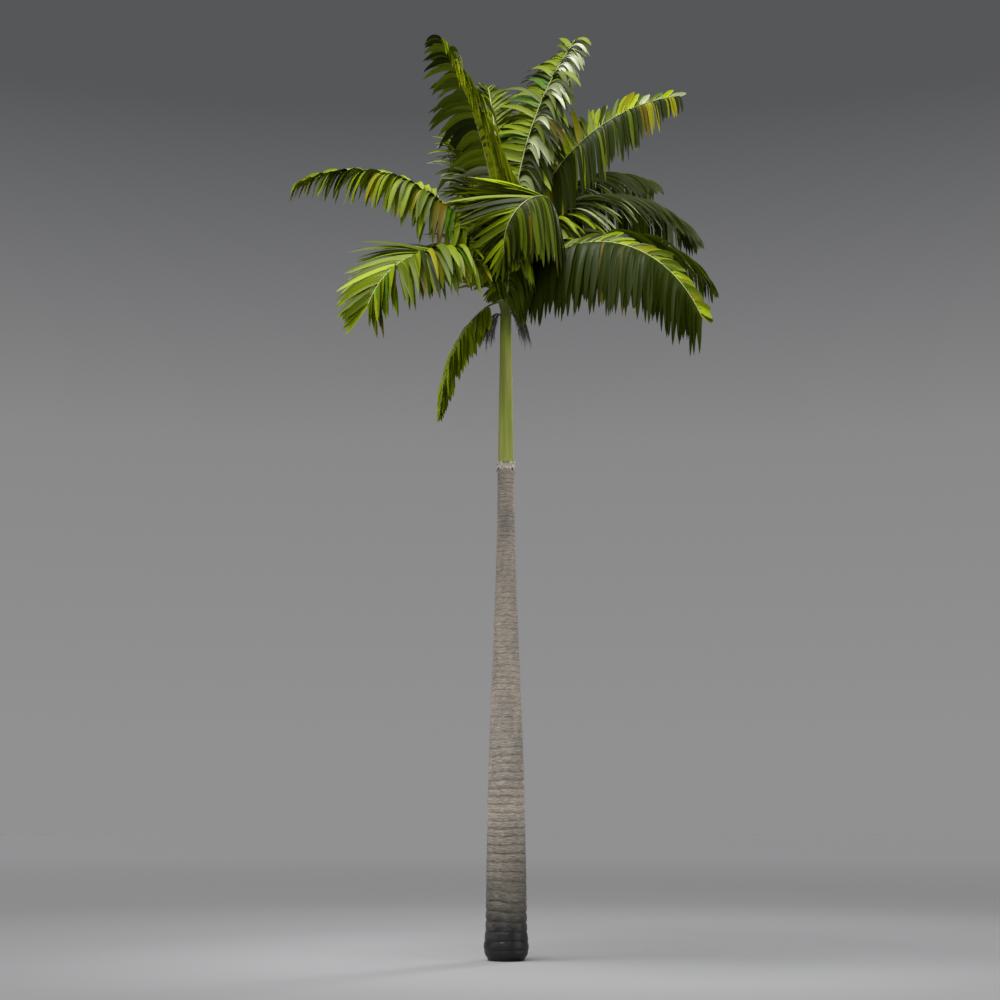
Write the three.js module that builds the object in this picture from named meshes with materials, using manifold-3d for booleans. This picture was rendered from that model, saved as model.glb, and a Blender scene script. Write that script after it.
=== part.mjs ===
// A royal palm, rooted in level ground: a grey trunk, a collar of old sheath scraps, the smooth green
// crownshaft, two dry flower stalks and a crown of feather fronds. Each frond is a thin blade whose
// outline is cut to the rib between its leaflets.
// Millimetres and degrees, +Z up, with the origin in the middle of the flat cut at ground level.
// Azimuths turn anticlockwise from +X, seen from above.

import * as THREE from "three";
import { mergeVertices } from "three/addons/utils/BufferGeometryUtils.js";
import Module from "manifold-3d";

// ---------- Driving dimensions ----------

const CLEARANCE = 0.3; // gap that neighbouring solids keep
const FINEST = 0.25; // smaller steps than this are smoothed off a fused solid
const ROOM = CLEARANCE + 2 * FINEST; // what is kept free before the smoothing

const TRUNK = {
  height: 6250,
  topRadius: 109,
  swell: 147, // added to the top radius at the ground, and tapering away upward
  taperPower: 1.2,
  flare: 22, // the bulge low on the trunk
  flareHeight: 150,
  flareSpread: 170,
  undercut: 41, // how far the flat cut draws in under the bulge
  undercutHeight: 60,
  sides: 24,
  rings: 18,
  ringPower: 1.5, // rings crowd towards the ground, where the radius changes most
};

const COLLAR = {
  radius: 121,
  height: 80,
  edge: 12, // rounding of its rims
  sides: 18,
  scraps: 11,
  scrapLength: 105,
  scrapWidth: 62,
  scrapThickness: 8,
  scrapLean: 0.3, // how far a scrap leans out for each unit that it rises
  hangingEvery: 3, // one scrap in this many hangs down
};

const SHAFT = {
  foot: TRUNK.height + COLLAR.height,
  footRadius: 105,
  footRounding: 50, // height of its rounded lower rim
  footInset: 12,
  topRadius: 76,
  shoulder: 8300, // above this height the heart tapers off inside the fronds
  heart: 850, // height of the tapering heart
  sides: 20,
  rings: 14,
};

const RACHIS = {
  width: 46,
  thickness: 28,
  seat: 12, // how far its middle line stands out from the heart at its foot
  heel: 34, // how far its foot starts back inside the heart, before it is cut clear
  tip: 0.24, // share of the width and thickness left at the tip
  sides: 4,
  segments: 12,
  steps: 60, // steps in which its curve is worked out
};

const LEAF = {
  pitch: 235, // spacing along the rachis
  fill: 0.9, // share of the space between two neighbours that a leaflet takes up
  width: 160, // its width at most
  thickness: 15,
  start: 0.1, // share of the rachis that is bare petiole
  foot: 0.42, // length of the first leaflets as a share of the longest
  fall: 0.72, // share by which the last leaflets are shorter
  fan: [60, 30], // angle to the rachis at the first and the last leaflet
  fanJitter: 2,
  liftJitter: 9,
  lengthJitter: 0.07,
  hangJitter: 0.2,
  twist: 12,
  rows: [0, 0.12, 0.62, 1], // stations along a leaflet
  widths: [0, 1, 0.74, 0], // share of its width at each station
  shorter: [1, 0.82, 0.64], // lengths tried, until it stands clear of its neighbours
};

// The width and height of a triangle drawn in a circle of radius 1, the section of leaflets and twigs.
const TRIANGLE = { sides: 3, width: Math.sqrt(3), height: 1.5 };

const STALK = {
  width: 26,
  thickness: 22,
  tip: 0.45, // share of the width and thickness left at the tip
  seat: 8, // how far it starts inside the crownshaft, before it is cut clear
  climb: [60, -80], // its angle above the level, at its foot and its tip
  sides: 4,
  segments: 5,
  branches: 8,
  branchWidth: 13,
  branchSpread: 0.9, // radians to either side
  firstBranch: 0.3, // share of its length that is bare
  branchRows: [0, 0.45, 1], // stations along a branch
};

// Each frond leaves the heart at its height and azimuth, climbs at its rise, and sags by its sag on the
// way to its tip: late in its length where bend is over 1, early where it is under. swing turns its
// azimuth on the way. leaf, lift and hang hold the left and the right side, as seen along the rachis:
// the longest leaflet, the angle at which leaflets stand above the blade, and how strongly they droop.
// A frond that bends round a wide gap is two solids, split after that many segments of its rachis.
const FRONDS = [
  {
    name: "frond_left_upright", azimuth: -143.5, rise: 88, length: 3480, sag: 34, height: 8860,
    bend: 1.2, leaf: [980, 880], lift: [24, 8], hang: [5, 1.1], fan: [66, 50], rightFan: [80, 40],
    fall: 0.68, seed: 1,
  },
  {
    name: "frond_back_upright", azimuth: 101, rise: 79.5, length: 3660, sag: 24, height: 8980,
    bend: 1.45, leaf: [800, 800], lift: [15, 15], hang: [0.5, 0.5], seed: 2,
  },
  {
    name: "frond_right_upright", azimuth: 33.4, rise: 90.5, length: 4120, sag: 34, height: 8940,
    bend: 1, leaf: [1140, 860], lift: [15, 5], hang: [0.7, 2.8], fan: [70, 40],
    rightFan: [70, 44], fall: 0.62, seed: 3,
  },
  {
    name: "frond_right_upper", azimuth: 12.5, rise: 80, length: 4190, sag: 66.5, height: 8820,
    bend: 1.3, leaf: [720, 950], lift: [48, -5], hang: [0.45, 5], fan: [62, 34],
    rightFan: [86, 60], split: 6, seed: 4,
  },
  {
    name: "frond_left_arching", azimuth: 175, rise: 69.5, length: 3780, sag: 97, height: 8700,
    bend: 1.5, leaf: [860, 520], lift: [10, 46], hang: [4.5, 1.6], fan: [66, 40],
    rightFan: [55, 30], fall: 0.6, split: 5, seed: 21,
  },
  {
    name: "frond_left_front", azimuth: -134, rise: 64.5, length: 2960, sag: 131.5, height: 8500,
    bend: 0.71, leaf: [1120, 950], lift: [10, 20], hang: [2, 0.5], fan: [74, 45],
    rightFan: [60, 34], fall: 0.5, split: 6, seed: 6,
  },
  {
    name: "frond_left_hanging", azimuth: -160, rise: -4, length: 1930, sag: 83, height: 8580,
    bend: 0.42, leaf: [520, 520], lift: [-10, -10], hang: [2.5, 2.5], fan: [70, 40], start: 0.12,
    foot: 0.9, seed: 7,
  },
  {
    name: "frond_front_curled", azimuth: -14, rise: 61.5, length: 3170, sag: 161, height: 8720,
    bend: 1.41, swing: -175, leaf: [1000, 1150], lift: [-30, 16], hang: [5, 0.35], fan: [80, 60],
    rightFan: [92, 70], fall: 0.66, split: 5, seed: 8,
  },
  {
    name: "frond_right_front", azimuth: -40, rise: 75, length: 3800, sag: 141, height: 8550,
    bend: 0.58, leaf: [360, 1080], lift: [44, -5], hang: [0.8, 5], fan: [60, 44],
    rightFan: [82, 56], start: 0.15, foot: 0.85, fall: 0.5, split: 6, seed: 9,
  },
  {
    name: "frond_right_low", azimuth: 4, rise: 78, length: 3500, sag: 133, height: 8580,
    bend: 0.88, swing: 3, leaf: [800, 950], lift: [-5, 5], hang: [5, 1.8], fan: [74, 40],
    rightFan: [46, 24], split: 6, seed: 10,
  },
  {
    name: "frond_right_middle", azimuth: 18.5, rise: 80, length: 3800, sag: 126, height: 8680,
    bend: 1.21, leaf: [1000, 950], lift: [-5, 0], hang: [5, 1.8], fan: [74, 40],
    rightFan: [44, 24], split: 5, seed: 11,
  },
  {
    name: "frond_right_high", azimuth: 38, rise: 73, length: 3900, sag: 80, height: 8780,
    bend: 1.4, leaf: [950, 850], lift: [-5, 0], hang: [4, 1.8], fan: [72, 38], rightFan: [42, 22],
    split: 5, seed: 12,
  },
  {
    name: "frond_front_low", azimuth: -82.5, rise: 78, length: 1920, sag: 155, height: 8420,
    bend: 1.2, leaf: [800, 600], lift: [0, 10], hang: [5, 1.6], fan: [76, 50], seed: 13,
  },
  {
    name: "frond_back_right", azimuth: 64, rise: 72, length: 3100, sag: 95, height: 8640,
    bend: 1.2, leaf: [700, 700], lift: [15, 15], hang: [1.5, 1.5], split: 5, seed: 14,
  },
  {
    name: "frond_back_left", azimuth: 118, rise: 68, length: 2700, sag: 90, height: 8560,
    bend: 1.2, leaf: [850, 850], lift: [25, 25], hang: [1.2, 1.2], split: 5, seed: 15,
  },
  {
    name: "frond_back_left_upright", azimuth: 129, rise: 76, length: 2800, sag: 12, height: 8800,
    bend: 1.2, leaf: [850, 850], lift: [15, 15], hang: [1, 1], fan: [76, 45], seed: 16,
  },
];

const STALKS = [
  { name: "flower_stalk_right", azimuth: -8, height: 8420, length: 170, branch: 380, seed: 31 },
  { name: "flower_stalk_left", azimuth: 172, height: 8400, length: 170, branch: 360, seed: 35 },
];

const COLOURS = {
  trunk: { color: 0x8d857a, roughness: 0.85 },
  collar: { color: 0xb9b3a3, roughness: 0.9 },
  crownshaft: { color: 0x8c9440, roughness: 0.45 },
  frond: { color: 0x6b7d18, roughness: 0.55 },
  stalk: { color: 0x6f675a, roughness: 0.9 },
};

// ---------- Helpers ----------

const wasm = await Module();
wasm.setup();

const UP = new THREE.Vector3(0, 0, 1);
const palm = new THREE.Group();

const mix = (from, to, share) => from + (to - from) * share;

// A repeatable number from -1 to 1 for each whole or broken number given.
function jitter(number) {
  const value = Math.sin(number * 12.9898 + 4.1414) * 43758.5453;
  return 2 * (value - Math.floor(value)) - 1;
}

// A closed three.js geometry as a solid.
function solidOf(geometry) {
  const plain = geometry.clone();
  plain.deleteAttribute("normal");
  plain.deleteAttribute("uv");
  const merged = mergeVertices(plain, 1e-3);
  const triVerts = [];
  for (let i = 0; i < merged.index.count; i += 3) {
    const [a, b, c] = merged.index.array.slice(i, i + 3);
    if (a !== b && b !== c && c !== a) triVerts.push(a, b, c);
  }
  return new wasm.Manifold(
    new wasm.Mesh({
      numProp: 3,
      vertProperties: merged.attributes.position.array,
      triVerts: new Uint32Array(triVerts),
    }),
  );
}

function geometryOf(solid) {
  const mesh = solid.getMesh();
  const geometry = new THREE.BufferGeometry();
  geometry.setAttribute("position", new THREE.BufferAttribute(mesh.vertProperties, 3));
  geometry.setIndex(new THREE.BufferAttribute(mesh.triVerts, 1));
  geometry.computeVertexNormals();
  return geometry;
}

function addMesh(name, solid, colour) {
  const material = new THREE.MeshStandardMaterial({ ...colour, metalness: 0 });
  const mesh = new THREE.Mesh(geometryOf(solid), material);
  mesh.name = name;
  palm.add(mesh);
}

// The largest body of a solid, with any sealed hollow filled and loose scraps dropped.
function largestBody(solid) {
  return solid.decompose().reduce((best, body) => (body.volume() > best.volume() ? body : best));
}

// Pieces joined into one body, with the slivers where they meet smoothed off.
const fused = (pieces) =>
  largestBody(largestBody(wasm.Manifold.union(pieces)).asOriginal().simplify(FINEST));

// A solid turned about the Z axis, from [radius, height] pairs that start and end on the axis.
function turned(profile, sides) {
  const points = profile.map(([radius, height]) => new THREE.Vector2(radius, height));
  return solidOf(new THREE.LatheGeometry(points, sides).rotateX(Math.PI / 2));
}

// A solid tube through a list of sections: each has a point, the two directions across the tube, and the
// half width and half thickness there.
function swept(sections, sides) {
  const last = sections.length - 1;
  const geometry = new THREE.CylinderGeometry(1, 1, 1, sides, last);
  const position = geometry.getAttribute("position");
  for (let i = 0; i < position.count; i++) {
    const section = sections[Math.round((position.getY(i) + 0.5) * last)];
    const vertex = section.point.clone();
    vertex.addScaledVector(section.across, position.getX(i) * section.halfWidth);
    vertex.addScaledVector(section.over, position.getZ(i) * section.halfThickness);
    position.setXYZ(i, vertex.x, vertex.y, vertex.z);
  }
  return solidOf(geometry);
}

// ---------- Trunk, collar and crownshaft ----------

function trunkRadius(height) {
  const taper = Math.cos((Math.PI / 2) * (height / TRUNK.height) ** TRUNK.taperPower) ** 2;
  const flare = TRUNK.flare * Math.exp(-(((height - TRUNK.flareHeight) / TRUNK.flareSpread) ** 2));
  const undercut = TRUNK.undercut * Math.exp(-((height / TRUNK.undercutHeight) ** 2));
  return TRUNK.topRadius + TRUNK.swell * taper + flare - undercut;
}

function trunk(grow = 0) {
  const profile = [[0, 0]];
  for (let i = 0; i <= TRUNK.rings; i++) {
    const height = TRUNK.height * (i / TRUNK.rings) ** TRUNK.ringPower;
    profile.push([trunkRadius(height) + grow, height]);
  }
  profile[profile.length - 1][1] += grow;
  profile.push([0, TRUNK.height + grow]);
  return turned(profile, TRUNK.sides);
}

function shaftRadius(height) {
  if (height > SHAFT.shoulder) {
    const share = (height - SHAFT.shoulder) / SHAFT.heart;
    return SHAFT.topRadius * Math.sqrt(Math.max(0, 1 - share * share));
  }
  const share = (height - SHAFT.foot) / (SHAFT.shoulder - SHAFT.foot);
  const rounding = Math.max(0, 1 - (height - SHAFT.foot) / SHAFT.footRounding);
  return mix(SHAFT.footRadius, SHAFT.topRadius, share) - SHAFT.footInset * rounding * rounding;
}

function crownshaft(grow = 0) {
  const top = SHAFT.shoulder + SHAFT.heart;
  const profile = [[0, SHAFT.foot - grow]];
  for (let i = 0; i < SHAFT.rings; i++) {
    const height = mix(SHAFT.foot, top, Math.sin((Math.PI / 2) * (i / SHAFT.rings)));
    profile.push([shaftRadius(height) + grow, i ? height : height - grow]);
  }
  profile.push([0, top + grow]);
  return turned(profile, SHAFT.sides);
}

function collar() {
  const { radius, height, edge, sides, scraps } = COLLAR;
  const foot = TRUNK.height + CLEARANCE;
  const top = SHAFT.foot - CLEARANCE;
  const ring = turned(
    [
      [0, foot],
      [radius - edge, foot],
      [radius, foot + edge],
      [radius, top - edge],
      [radius - edge, top],
      [0, top],
    ],
    sides,
  );
  const pieces = [ring];
  for (let i = 0; i < scraps; i++) {
    const azimuth = (2 * Math.PI * (i + 0.3 * jitter(i + 0.2))) / scraps;
    const outward = new THREE.Vector3(Math.cos(azimuth), Math.sin(azimuth), 0);
    const around = new THREE.Vector3(-Math.sin(azimuth), Math.cos(azimuth), 0);
    const hanging = i % COLLAR.hangingEvery === COLLAR.hangingEvery - 1;
    const length = COLLAR.scrapLength * (1 + 0.35 * jitter(i + 0.4));
    const lean = COLLAR.scrapLean * (1 + 0.8 * jitter(i + 0.6));
    const along = outward.clone().multiplyScalar(lean).addScaledVector(UP, hanging ? -1 : 1);
    along.normalize();
    const root = outward.clone().multiplyScalar(radius - COLLAR.scrapThickness);
    root.z = foot + height / 2 - (hanging ? -0.15 : 0.15) * height;
    const sections = [1, 0.75, 0].map((width, row) => ({
      point: root.clone().addScaledVector(along, (length * row) / 2),
      across: around,
      over: around.clone().cross(along),
      halfWidth: (COLLAR.scrapWidth * width) / 2,
      halfThickness: (COLLAR.scrapThickness * Math.max(width, 0.5)) / 2,
    }));
    pieces.push(swept(sections, 4));
  }
  const neighbours = wasm.Manifold.union([crownshaft(ROOM), trunk(ROOM)]);
  return fused(pieces.map((piece, i) => (i ? piece.subtract(neighbours) : piece)));
}

// ---------- Fronds ----------

// The curve of a frond's rachis: the point, the direction and the way to its left after each segment.
function rachisCurve(frond) {
  const { bend = 1, swing = 0 } = frond;
  const foot = shaftRadius(frond.height) + RACHIS.seat;
  const start = THREE.MathUtils.degToRad(frond.azimuth);
  const point = new THREE.Vector3(foot * Math.cos(start), foot * Math.sin(start), frond.height);
  const stepCount = RACHIS.segments * RACHIS.steps;
  const curve = [];
  let before = null;
  for (let i = 0; i <= stepCount; i++) {
    const share = i / stepCount;
    const climb = THREE.MathUtils.degToRad(frond.rise - frond.sag * share ** bend);
    const azimuth = THREE.MathUtils.degToRad(frond.azimuth + swing * share);
    const direction = new THREE.Vector3(
      Math.cos(climb) * Math.cos(azimuth),
      Math.cos(climb) * Math.sin(azimuth),
      Math.sin(climb),
    );
    if (before) {
      point.addScaledVector(direction.clone().add(before).normalize(), frond.length / stepCount);
    }
    before = direction;
    if (i % RACHIS.steps) continue;
    const left = new THREE.Vector3(-Math.sin(azimuth), Math.cos(azimuth), 0);
    curve.push({ point: point.clone(), direction, left });
  }
  return curve;
}

// The place at a share of the way along a rachis curve.
function alongCurve(curve, share) {
  const place = share * (curve.length - 1);
  const index = Math.min(Math.floor(place), curve.length - 2);
  const [a, b] = [curve[index], curve[index + 1]];
  const part = place - index;
  const direction = a.direction.clone().lerp(b.direction, part).normalize();
  const left = a.left.clone().lerp(b.left, part).normalize();
  return {
    point: a.point.clone().lerp(b.point, part),
    direction,
    left,
    over: direction.clone().cross(left),
  };
}

// The rachis from one of its curve's points to another. The first stretch has a heel inside the heart,
// and a later one starts clear of the one before.
function rachis(curve, from, to, grow = 0) {
  const sections = curve.slice(from, to + 1).map(({ point, direction, left }, i) => {
    const size = mix(1, RACHIS.tip, ((from + i) / RACHIS.segments) ** 0.8);
    const back = from ? -ROOM : RACHIS.heel;
    return {
      point: i ? point : point.clone().addScaledVector(direction, -back),
      across: left,
      over: left.clone().cross(direction),
      halfWidth: (RACHIS.width * size) / 2 + grow,
      halfThickness: (RACHIS.thickness * size) / 2 + grow,
    };
  });
  return swept(sections, RACHIS.sides);
}

// The length of a leaflet at a share of the blade, as a share of the longest.
function leafProfile(frond, share) {
  const foot = frond.foot ?? LEAF.foot;
  const growing = foot + (1 - foot) * Math.min(1, share / 0.3) ** 0.8;
  const falling = 1 - (frond.fall ?? LEAF.fall) * Math.max(0, (share - 0.45) / 0.55) ** 1.8;
  return growing * falling;
}

// How far along the blade a leaflet is rooted. The two sides take turns.
const leafShare = (index, side, count) => (index + mix(0.3, 0.7, side)) / count;

// One leaflet: it leaves the rib at its fan angle and droops along its length, and its width stays as
// near as it can to the rib's direction.
function leaflet(frond, curve, count, index, side, shorter) {
  const share = leafShare(index, side, count);
  const start = frond.start ?? LEAF.start;
  const key = frond.seed * 977 + index * 2 + side;
  const place = alongCurve(curve, mix(start, 1, share));
  const fan = (side === 1 && frond.rightFan) || frond.fan || LEAF.fan;
  const angle = mix(fan[0], fan[1], share ** 1.5) + LEAF.fanJitter * jitter(key + 0.1);
  const lift = frond.lift[side] + LEAF.liftJitter * jitter(key + 0.2);
  const [spread, raise] = [angle, lift].map(THREE.MathUtils.degToRad);
  const profile = leafProfile(frond, share);
  const length = frond.leaf[side] * profile * (1 + LEAF.lengthJitter * jitter(key + 0.3)) * shorter;
  const hang = frond.hang[side] * (1 + LEAF.hangJitter * jitter(key + 0.4));
  const sideways = Math.sin(spread) * Math.cos(raise) * (side === 0 ? 1 : -1);
  const first = place.direction.clone().multiplyScalar(Math.cos(spread));
  first.addScaledVector(place.left, sideways);
  first.addScaledVector(place.over, Math.sin(spread) * Math.sin(raise));
  const width = Math.min(LEAF.width, LEAF.fill * LEAF.pitch * Math.sin(spread));
  const twist = THREE.MathUtils.degToRad(LEAF.twist * jitter(key + 0.5));
  const ways = LEAF.rows.slice(1).map((row, i) => {
    const middle = (row + LEAF.rows[i]) / 2;
    return first.clone().addScaledVector(UP, -hang * middle ** 0.9).normalize();
  });
  const point = place.point.clone();
  let level = place.direction;
  const sections = LEAF.rows.map((row, i) => {
    if (i) point.addScaledVector(ways[i - 1], (row - LEAF.rows[i - 1]) * length);
    const along = ways[Math.max(0, i - 1)].clone().add(ways[Math.min(i, ways.length - 1)]).normalize();
    level = level.clone().addScaledVector(along, -along.dot(level)).normalize();
    const across = level.clone().applyAxisAngle(along, twist);
    return {
      point: point.clone(),
      across,
      over: across.clone().cross(along),
      halfWidth: (width * LEAF.widths[i]) / TRIANGLE.width,
      halfThickness: (LEAF.thickness * LEAF.widths[i]) / TRIANGLE.height,
    };
  });
  return swept(sections, TRIANGLE.sides);
}

// ---------- Flower stalks ----------

// A short stem from the crownshaft with thin branches that droop from it.
function flowerStalk(stalk) {
  const azimuth = THREE.MathUtils.degToRad(stalk.azimuth);
  const outward = new THREE.Vector3(Math.cos(azimuth), Math.sin(azimuth), 0);
  const around = new THREE.Vector3(-Math.sin(azimuth), Math.cos(azimuth), 0);
  const point = outward.clone().multiplyScalar(shaftRadius(stalk.height) - STALK.seat);
  point.z = stalk.height;
  const sections = [];
  for (let i = 0; i <= STALK.segments; i++) {
    const share = i / STALK.segments;
    const climb = THREE.MathUtils.degToRad(mix(STALK.climb[0], STALK.climb[1], share));
    const along = outward.clone().multiplyScalar(Math.cos(climb)).addScaledVector(UP, Math.sin(climb));
    if (i) point.addScaledVector(along, stalk.length / STALK.segments);
    const size = mix(1, STALK.tip, share);
    sections.push({
      point: point.clone(),
      across: around,
      over: around.clone().cross(along),
      halfWidth: (STALK.width * size) / 2,
      halfThickness: (STALK.thickness * size) / 2,
    });
  }
  const pieces = [swept(sections, STALK.sides)];
  for (let i = 0; i < STALK.branches; i++) {
    const key = stalk.seed * 97 + i;
    const share = mix(STALK.firstBranch, 1, i / (STALK.branches - 1));
    const root = sections[Math.round(share * STALK.segments)].point;
    const turn = azimuth + STALK.branchSpread * jitter(key + 0.1);
    const length = stalk.branch * (1 + 0.3 * jitter(key + 0.3));
    const away = new THREE.Vector3(Math.cos(turn), Math.sin(turn), 0);
    const tip = root.clone();
    const across = new THREE.Vector3(-Math.sin(turn), Math.cos(turn), 0);
    const rows = STALK.branchRows.map((row, j) => {
      const along = away.clone().multiplyScalar(0.9 - 0.75 * row).addScaledVector(UP, -0.25 - row);
      along.normalize();
      if (j) tip.addScaledVector(along, length * (row - STALK.branchRows[j - 1]));
      const half = (STALK.branchWidth * (1 - 0.5 * row)) / 2;
      const over = across.clone().cross(along);
      return { point: tip.clone(), across, over, halfWidth: half, halfThickness: half };
    });
    pieces.push(swept(rows, TRIANGLE.sides));
  }
  return fused(pieces);
}

// ---------- The whole palm ----------

const boxesMeet = (a, b) => [0, 1, 2].every((i) => a.min[i] < b.max[i] + 1 && b.min[i] < a.max[i] + 1);

// A solid with its box, kept as something that later leaflets stand clear of.
const obstacle = (owner, solid) => ({ owner, solid, box: solid.boundingBox() });

function standsClear(piece, owner, obstacles) {
  const box = piece.boundingBox();
  return obstacles.every(
    (other) =>
      other.owner === owner ||
      !boxesMeet(box, other.box) ||
      piece.minGap(other.solid, 2 * ROOM) > ROOM,
  );
}

addMesh("trunk", trunk(), COLOURS.trunk);
addMesh("collar", collar(), COLOURS.collar);
addMesh("crownshaft", crownshaft(), COLOURS.crownshaft);

const grownShaft = crownshaft(ROOM);
const obstacles = [obstacle("trunk", trunk()), obstacle("crownshaft", crownshaft())];

for (const stalk of STALKS) {
  const solid = largestBody(flowerStalk(stalk).subtract(grownShaft));
  obstacles.push(obstacle(stalk.name, solid));
  addMesh(stalk.name, solid, COLOURS.stalk);
}

// The stretches of a frond that are solids of their own.
function stretchesOf(frond) {
  if (!frond.split) return [{ name: frond.name, from: 0, to: RACHIS.segments }];
  return [
    { name: `${frond.name}_foot`, from: 0, to: frond.split },
    { name: `${frond.name}_tip`, from: frond.split, to: RACHIS.segments },
  ];
}

// Where two petioles crowd each other at the heart, the later one is cut clear of the earlier.
let placed = grownShaft;
const fronds = FRONDS.map((frond) => {
  const curve = rachisCurve(frond);
  const stretches = stretchesOf(frond).map(({ name, from, to }) => {
    const solid = largestBody(rachis(curve, from, to).subtract(placed));
    obstacles.push(obstacle(name, solid));
    return { name, from, pieces: [solid] };
  });
  placed = placed.add(rachis(curve, 0, RACHIS.segments, 1.5 * ROOM));
  return { frond, curve, stretches };
});

for (const { frond, curve, stretches } of fronds) {
  const start = frond.start ?? LEAF.start;
  const count = Math.round((frond.length * (1 - start)) / LEAF.pitch);
  for (let index = count - 1; index >= 0; index--) {
    for (const side of [0, 1]) {
      const place = RACHIS.segments * mix(start, 1, leafShare(index, side, count));
      const { name, pieces } = stretches.findLast((stretch) => stretch.from <= place);
      const fitting = LEAF.shorter
        .map((shorter) => leaflet(frond, curve, count, index, side, shorter))
        .find((piece) => standsClear(piece, name, obstacles));
      if (!fitting) continue;
      pieces.push(fitting);
      obstacles.push(obstacle(name, fitting));
    }
  }
  for (const { name, pieces } of stretches) {
    addMesh(name, fused(pieces), COLOURS.frond);
  }
}

export default palm;
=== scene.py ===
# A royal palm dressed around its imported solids: a ringed grey trunk, a collar of torn sheath scraps,
# the smooth green crownshaft, two dry flower stalks and sixteen feather fronds.
# Metres and degrees, +Z up. Azimuths turn anticlockwise from +X, seen from above.

import math

import bpy
import numpy as np
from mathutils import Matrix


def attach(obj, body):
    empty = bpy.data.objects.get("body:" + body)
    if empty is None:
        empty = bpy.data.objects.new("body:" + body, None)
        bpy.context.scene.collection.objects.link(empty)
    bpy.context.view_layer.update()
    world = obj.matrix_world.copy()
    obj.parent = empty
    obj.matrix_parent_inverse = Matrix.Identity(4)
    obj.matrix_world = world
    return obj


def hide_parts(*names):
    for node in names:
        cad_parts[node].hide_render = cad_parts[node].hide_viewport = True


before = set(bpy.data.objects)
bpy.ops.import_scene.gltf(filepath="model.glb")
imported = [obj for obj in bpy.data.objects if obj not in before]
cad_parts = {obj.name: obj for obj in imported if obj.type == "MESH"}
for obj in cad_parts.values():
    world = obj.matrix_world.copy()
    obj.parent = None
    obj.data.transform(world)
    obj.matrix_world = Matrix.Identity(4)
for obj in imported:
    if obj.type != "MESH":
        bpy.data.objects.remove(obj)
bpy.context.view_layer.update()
up = np.array([0.0, 0.0, 1.0])


def mix(start, end, share):
    return start + (end - start) * share


# a repeatable number from -1 to 1 for each number given
def scatter(number):
    value = np.sin(np.asarray(number, float) * 12.9898 + 4.1414) * 43758.5453
    return 2 * (value - np.floor(value)) - 1


def unit(vectors):
    return vectors / np.linalg.norm(vectors, axis=-1, keepdims=True)


# a colour as a paint chart gives it, 0 to 255, for a shader's socket
def paint(red, green, blue):
    shades = [value / 255 for value in (red, green, blue)]
    return [v / 12.92 if v <= 0.04045 else ((v + 0.055) / 1.055) ** 2.4 for v in shades] + [1.0]


def newFinish(name, colour, roughness, **sockets):
    finish = bpy.data.materials.new(name)
    finish.use_nodes = True
    shader = finish.node_tree.nodes["Principled BSDF"]
    shader.inputs["Base Color"].default_value = paint(*colour)
    shader.inputs["Roughness"].default_value = roughness
    for socket, value in sockets.items():
        shader.inputs[socket.replace("_", " ")].default_value = value
    return finish


def addNode(finish, kind, **settings):
    node = finish.node_tree.nodes.new(kind)
    for setting, value in settings.items():
        setattr(node, setting, value)
    return node


def link(finish, source, target):
    finish.node_tree.links.new(source, target)


def shaderOf(finish):
    return finish.node_tree.nodes["Principled BSDF"]


# noise on the object's own coordinates, stretched by the scale for each axis
def stretchedNoise(finish, scale, detail=4.0, roughness=0.55, distortion=0.0):
    place = addNode(finish, "ShaderNodeTexCoord")
    mapping = addNode(finish, "ShaderNodeMapping")
    mapping.inputs["Scale"].default_value = scale
    noise = addNode(finish, "ShaderNodeTexNoise")
    noise.inputs["Scale"].default_value = 1.0
    noise.inputs["Detail"].default_value = detail
    noise.inputs["Roughness"].default_value = roughness
    noise.inputs["Distortion"].default_value = distortion
    link(finish, place.outputs["Object"], mapping.inputs["Vector"])
    link(finish, mapping.outputs["Vector"], noise.inputs["Vector"])
    return noise.outputs["Fac"]


# stops of a colour ramp, for a finish or for the sky
def setStops(ramp, stops):
    band = ramp.color_ramp
    while len(band.elements) < len(stops):
        band.elements.new(0.5)
    for element, (place, colour) in zip(band.elements, stops):
        element.position = place
        element.color = paint(*colour)


def colourRamp(finish, source, stops):
    ramp = addNode(finish, "ShaderNodeValToRGB")
    setStops(ramp, stops)
    link(finish, source, ramp.inputs["Fac"])
    return ramp.outputs["Color"]


def remap(finish, source, fromLow, fromHigh, toLow, toHigh):
    node = addNode(finish, "ShaderNodeMapRange")
    for socket, value in zip(("From Min", "From Max", "To Min", "To Max"), (fromLow, fromHigh, toLow, toHigh)):
        node.inputs[socket].default_value = value
    link(finish, source, node.inputs["Value"])
    return node.outputs["Result"]


def blendColours(finish, share, first, second, kind="MIX"):
    node = addNode(finish, "ShaderNodeMix", data_type="RGBA", blend_type=kind)
    if isinstance(share, float):
        node.inputs["Factor"].default_value = share
    else:
        link(finish, share, node.inputs["Factor"])
    link(finish, first, node.inputs["A"])
    link(finish, second, node.inputs["B"])
    return node.outputs["Result"]


def calculate(finish, operation, first, second):
    node = addNode(finish, "ShaderNodeMath", operation=operation)
    for socket, value in zip(node.inputs, (first, second)):
        if isinstance(value, (int, float)):
            socket.default_value = value
        else:
            link(finish, value, socket)
    return node.outputs["Value"]


def addBump(finish, source, strength, distance):
    bump = addNode(finish, "ShaderNodeBump")
    bump.inputs["Strength"].default_value = strength
    bump.inputs["Distance"].default_value = distance
    link(finish, source, bump.inputs["Height"])
    link(finish, bump.outputs["Normal"], shaderOf(finish).inputs["Normal"])


def deselectAll():
    bpy.ops.object.select_all(action="DESELECT")


def coordinatesOf(piece):
    places = np.empty(len(piece.data.vertices) * 3)
    piece.data.vertices.foreach_get("co", places)
    return places.reshape(-1, 3)


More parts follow.
